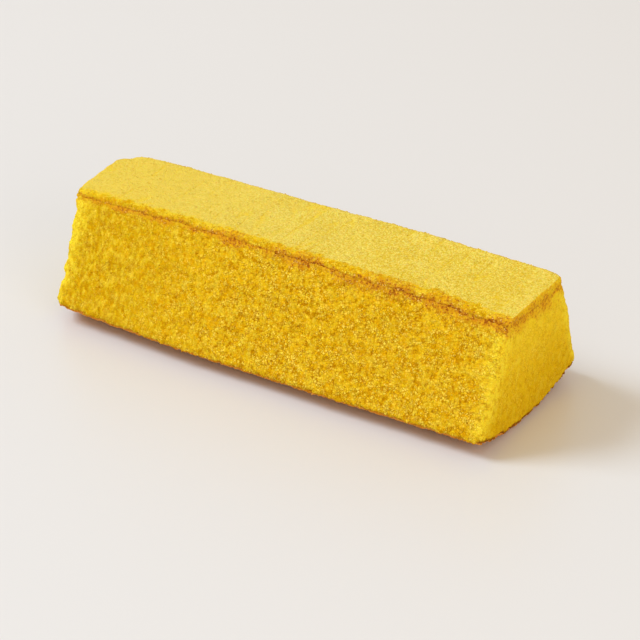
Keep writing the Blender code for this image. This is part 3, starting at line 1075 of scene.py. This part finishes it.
def settled(source: Object, name: str, smooth: bool) -> Object:
    """Turn an object with live modifiers into a plain mesh object.

    Args:
        source: the object to evaluate; it is removed.
        name: name of the new object.
        smooth: whether its faces are shaded smooth.

    Returns:
        The plain object.
    """
    graph = bpy.context.evaluated_depsgraph_get()
    mesh = bpy.data.meshes.new_from_object(source.evaluated_get(graph), preserve_all_data_layers=True,
                                           depsgraph=graph)
    bpy.data.objects.remove(source, do_unlink=True)
    mesh.name = name
    if smooth:
        mesh.shade_smooth()
    else:
        mesh.shade_flat()
    return placed(name, mesh)


@dataclass
class CakePiece:
    """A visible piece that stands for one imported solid."""

    name: str
    node: str
    neighbour: str
    slot: str
    skin_side: SkinSide
    grid: float
    smoothing: int
    relief: dict[str, float] = field(default_factory=dict)
    weld: float = 0.01 * MM

    def even_copy(self) -> Object:
        """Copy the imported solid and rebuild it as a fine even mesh.

        Returns:
            The copy, with its modifiers live.
        """
        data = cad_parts[self.node].data.copy()
        mesh = bmesh.new()
        mesh.from_mesh(data)
        bmesh.ops.remove_doubles(mesh, verts=mesh.verts, dist=self.weld)
        mesh.to_mesh(data)
        mesh.free()
        data.materials.clear()
        copy = placed(self.node + "_even", data)
        remesh = copy.modifiers.new("even", "REMESH")
        remesh.mode = "VOXEL"
        remesh.voxel_size = self.grid
        smooth = copy.modifiers.new("smooth", "SMOOTH")
        smooth.factor = 0.5
        smooth.iterations = self.smoothing
        return copy

    def build(self, tree: Tree, material: Material, box: Box) -> Object:
        """Build the piece.

        Args:
            tree: the relief tree.
            material: the finish.
            box: the room that the stick takes.

        Returns:
            The finished object.
        """
        base = self.even_copy()
        set_inputs(base, tree, {"Neighbour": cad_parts[self.neighbour], "Box Low": box[0],
                                "Box High": box[1], "Skin Side": self.skin_side.value, "Material": material,
                                **self.relief})
        made = settled(base, self.name, smooth=True)
        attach(made, BODY)
        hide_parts(self.node)
        return made


@dataclass
class GrainField:
    """Grains set into one side of a cake piece."""

    name: str
    facing: Facing
    slot: str
    shape: GrainShape
    spacing: float
    smallest: float
    largest: float
    seed: int
    where: Attribute = Attribute.CUT
    limit: float = 0.6
    sink: float = 0.10 * MM
    dents: float = 0.30 * MM

    def build(self, carrier: Object, trees: dict[GrainShape, Tree], material: Material,
              box: Box) -> Object:
        """Scatter the grains.

        Args:
            carrier: the piece that they sit in.
            trees: the grain trees by shape.
            material: the finish.
            box: the room that the stick takes.

        Returns:
            The finished object.
        """
        source = placed(self.name + "_carrier", carrier.data.copy())
        set_inputs(source, trees[self.shape], {
            "Where": self.where.value, "Facing": self.facing.value, "Facing Limit": self.limit,
            "Spacing": self.spacing, "Smallest": self.smallest, "Largest": self.largest, "Sink": self.sink,
            "Dents": self.dents, "Seed": self.seed, "Box Low": box[0], "Box High": box[1],
            "Material": material})
        made = settled(source, self.name, smooth=False)
        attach(made, BODY)
        return made


def crumb_fields() -> list[GrainField]:
    """List the grains of the deep crumb: clumps and flecks on the long sides, finer flecks on the ends.

    Returns:
        The grain fields.
    """
    fields = []
    for number, facing in enumerate((Facing.FRONT, Facing.BACK, Facing.RIGHT, Facing.LEFT)):
        side = facing.name.lower()
        end = facing in (Facing.RIGHT, Facing.LEFT)
        if not end:
            fields.append(GrainField(
                f"clumps_{side}", facing, "crumb", GrainShape.CLUMP, spacing=0.80 * MM, smallest=0.32 * MM,
                largest=0.60 * MM, seed=2 + number, sink=0.30 * MM))
        fields.append(GrainField(
            f"flecks_{side}", facing, "crumb", GrainShape.FLECK, spacing=(0.32 if end else 0.34) * MM,
            smallest=(0.11 if end else 0.18) * MM, largest=(0.20 if end else 0.42) * MM,
            seed=12 + number, sink=0.06 * MM, dents=0.20 * MM))
    return fields


def layer_fields() -> list[GrainField]:
    """List the grains in the cut faces of the top layer."""
    return [
        GrainField("clumps_top_layer", Facing.ALL_ROUND, "top_layer", GrainShape.CLUMP, spacing=0.55 * MM,
                   smallest=0.22 * MM, largest=0.44 * MM, seed=22, limit=-1.0, sink=0.12 * MM),
        GrainField("flecks_top_layer", Facing.ALL_ROUND, "top_layer", GrainShape.FLECK, spacing=0.26 * MM,
                   smallest=0.12 * MM, largest=0.24 * MM, seed=23, limit=-1.0, sink=0.0, dents=0.12 * MM)]


def felt_field() -> GrainField:
    """Describe the fine felt on the top skin."""
    return GrainField(
        "felt_top_layer", Facing.UP, "top_layer", GrainShape.FLECK, spacing=0.38 * MM, smallest=0.18 * MM,
        largest=0.34 * MM, seed=24, where=Attribute.SKIN, limit=0.8, sink=0.07 * MM, dents=0.16 * MM)


# ---- studio
@dataclass
class Studio:
    """Pale floor, soft light and the camera."""

    azimuth: float = math.radians(32.12)
    elevation: float = math.radians(29.78)
    distance: float = 0.8056
    lens: float = 150.0
    sensor: float = 36.0
    sight: float = 20.0
    aside: float = 2.99 * MM
    above: float = 8.55 * MM
    start: float = 1.01 * MM
    floor_size: float = 6.0
    floor_colour: Colour = (0.70, 0.695, 0.69)
    floor_roughness: float = 0.38
    floor_specular: float = 0.6
    floor_glaze: float = 0.7
    room_light: float = 0.74
    room_colour: Colour = (0.985, 0.855, 0.70)
    key_elevation: float = math.radians(46.0)
    key_turn: float = math.radians(10.0)
    key_distance: float = 2.6
    key_size: float = 1.10
    key_power: float = 45.4
    key_colour: Colour = (0.87, 1.035, 1.24)
    fill_side: Triple = (0.85, -0.45, 0.35)
    fill_distance: float = 1.3
    fill_size: float = 0.9
    fill_power: float = 5.2
    fill_colour: Colour = (1.0, 0.96, 0.90)

    def directions(self) -> tuple[Vector, Vector, Vector]:
        """Work out the camera's directions.

        Returns:
            Its right, up and backward directions.
        """
        back = Vector((math.sin(self.azimuth) * math.cos(self.elevation),
                       -math.cos(self.azimuth) * math.cos(self.elevation), math.sin(self.elevation)))
        right = Vector((0, 0, 1)).cross(back).normalized()
        return right, back.cross(right), back

    def camera(self) -> None:
        """Place the camera at the photograph's viewing angle."""
        right, up, back = self.directions()
        data = bpy.data.cameras.new("camera")
        data.lens = self.lens
        data.sensor_width = self.sensor
        data.clip_end = self.sight
        made = placed("camera", data)
        place = back * self.distance + right * self.aside + up * self.above + Vector((self.start, 0, 0))
        made.matrix_world = Matrix.Translation(place) @ Matrix((right, up, back)).transposed().to_4x4()
        bpy.context.scene.camera = made

    def floor(self) -> None:
        """Lay the pale floor."""
        mesh = bmesh.new()
        bmesh.ops.create_grid(mesh, x_segments=1, y_segments=1, size=self.floor_size / 2)
        data = bpy.data.meshes.new("floor")
        mesh.to_mesh(data)
        mesh.free()
        material = bpy.data.materials.new("floor")
        material.use_nodes = True
        shader = material.node_tree.nodes["Principled BSDF"]
        for name, value in (("Base Color", (*self.floor_colour, 1)), ("Roughness", self.floor_roughness),
                            ("Specular IOR Level", self.floor_specular), ("Coat Weight", self.floor_glaze),
                            ("Coat Roughness", self.floor_roughness)):
            shader.inputs[name].default_value = value
        data.materials.append(material)
        made = placed("floor", data)
        made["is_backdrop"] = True

    def lamp(self, name: str, place: Vector, size: float, power: float, colour: Colour) -> None:
        """Hang a soft square lamp that looks at the stick.

        Args:
            name: the lamp's name.
            place: where it hangs.
            size: width of its square.
            power: power in watts.
            colour: colour of its light.
        """
        data = bpy.data.lights.new(name, "AREA")
        data.shape = "SQUARE"
        data.size = size
        data.energy = power
        data.color = colour
        turn = (-place).to_track_quat("-Z", "Y").to_matrix().to_4x4()
        placed(name, data).matrix_world = Matrix.Translation(place) @ turn

    def light(self) -> None:
        """Light the stick softly from its left, in a bright room."""
        world = bpy.data.worlds.new("room")
        world.use_nodes = True
        background = world.node_tree.nodes["Background"]
        background.inputs["Color"].default_value = (*self.room_colour, 1)
        background.inputs["Strength"].default_value = self.room_light
        bpy.context.scene.world = world
        right, _, back = self.directions()
        level = Vector((back.x, back.y, 0)).normalized()
        aim = -right * math.cos(self.key_turn) - level * math.sin(self.key_turn)
        place = aim * math.cos(self.key_elevation) + Vector((0, 0, math.sin(self.key_elevation)))
        self.lamp("window", place * self.key_distance, self.key_size, self.key_power, self.key_colour)
        side = Vector(self.fill_side).normalized()
        self.lamp("reflector", side * self.fill_distance, self.fill_size, self.fill_power, self.fill_colour)

    def build(self) -> None:
        """Set up the whole studio."""
        self.camera()
        self.floor()
        self.light()
        bpy.context.scene.view_settings.view_transform = "Standard"


def main() -> None:
    """Build the stick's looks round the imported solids."""
    logging.basicConfig(level=logging.INFO, format="%(message)s")
    log = logging.getLogger("baumkuchen")
    cad_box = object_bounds()
    box = tuple(tuple(corner) for corner in cad_box)
    Studio().build()
    groups = {"mottle": Mottle().tree, "crystals": CrumbCrystals().tree, "browned_line": BrownedLine().tree}
    crumb = CakeFinish("golden_crumb").material(groups)
    grains = CakeFinish("crumb_grains", grain_tones=True, rough=0.50).material(groups)
    layer_look = {"line_side": -1.0, "base_reach": 0.0, "fringe_reach": 3.5 * MM, "edge_share": 0.45,
                  "pit": (0.64, 0.32, 0.002), "amber": (0.84, 0.42, 0.004), "crumb": (0.86, 0.56, 0.012),
                  "peak": (1.0, 0.77, 0.10), "skin_felt": 0.45 * MM, "skin_facets": 0.76,
                  "line_end_reach": 1.7 * MM}
    top = CakeFinish("top_layer_skin", skin_dark=(0.70, 0.47, 0.035), skin_light=(0.87, 0.72, 0.155),
                     skin_bump=0.26 * MM, **layer_look).material(groups)
    layer_grains = CakeFinish("top_layer_grains", grain_tones=True, rough=0.50,
                              skin_dark=(0.72, 0.52, 0.026), skin_light=(0.80, 0.64, 0.09),
                              **layer_look).material(groups)
    felt = CakeFinish("top_layer_felt", grain_tones=True, skin_dark=(0.67, 0.44, 0.025),
                      skin_light=(0.89, 0.74, 0.185), **layer_look).material(groups)
    relief = CrumbRelief().graph.tree
    scatter = {shape: GrainScatter(shape).graph.tree for shape in GrainShape}
    body = CakePiece("deep_crumb", "crumb_body", "top_layer", "crumb", SkinSide.DOWN, grid=0.585 * MM,
                     smoothing=3, relief={"Rim Crag": 1.3 * MM})
    layer = CakePiece("top_skin_layer", "top_layer", "crumb_body", "top_layer", SkinSide.UP, grid=0.36 * MM,
                      smoothing=6, relief={
                          "Skin Start": 0.75, "Skin Full": 0.95, "Skin Raggedness": 0.15,
                          "Skin Border": 2.0 * MM, "Border Wander": 7.0 * MM, "Skin Relief": 0.42 * MM,
                          "Crease Depth": 0.20 * MM, "Skin Grain": 0.75 * MM, "Pit Depth": 0.30 * MM,
                          "Swell Height": 0.30 * MM, "Inset": 0.05 * MM})
    body_piece = body.build(relief, crumb, box)
    layer_piece = layer.build(relief, top, box)
    for piece in (body_piece, layer_piece):
        log.info("%s: %d faces", piece.name, len(piece.data.polygons))
    for carrier, finish, grain_fields in ((body_piece, grains, crumb_fields()),
                                          (layer_piece, layer_grains, layer_fields()),
                                          (layer_piece, felt, [felt_field()])):
        for grain_field in grain_fields:
            made = grain_field.build(carrier, scatter, finish, box)
            log.info("%s: %d faces", made.name, len(made.data.polygons))


if __name__ == "__main__":
    main()
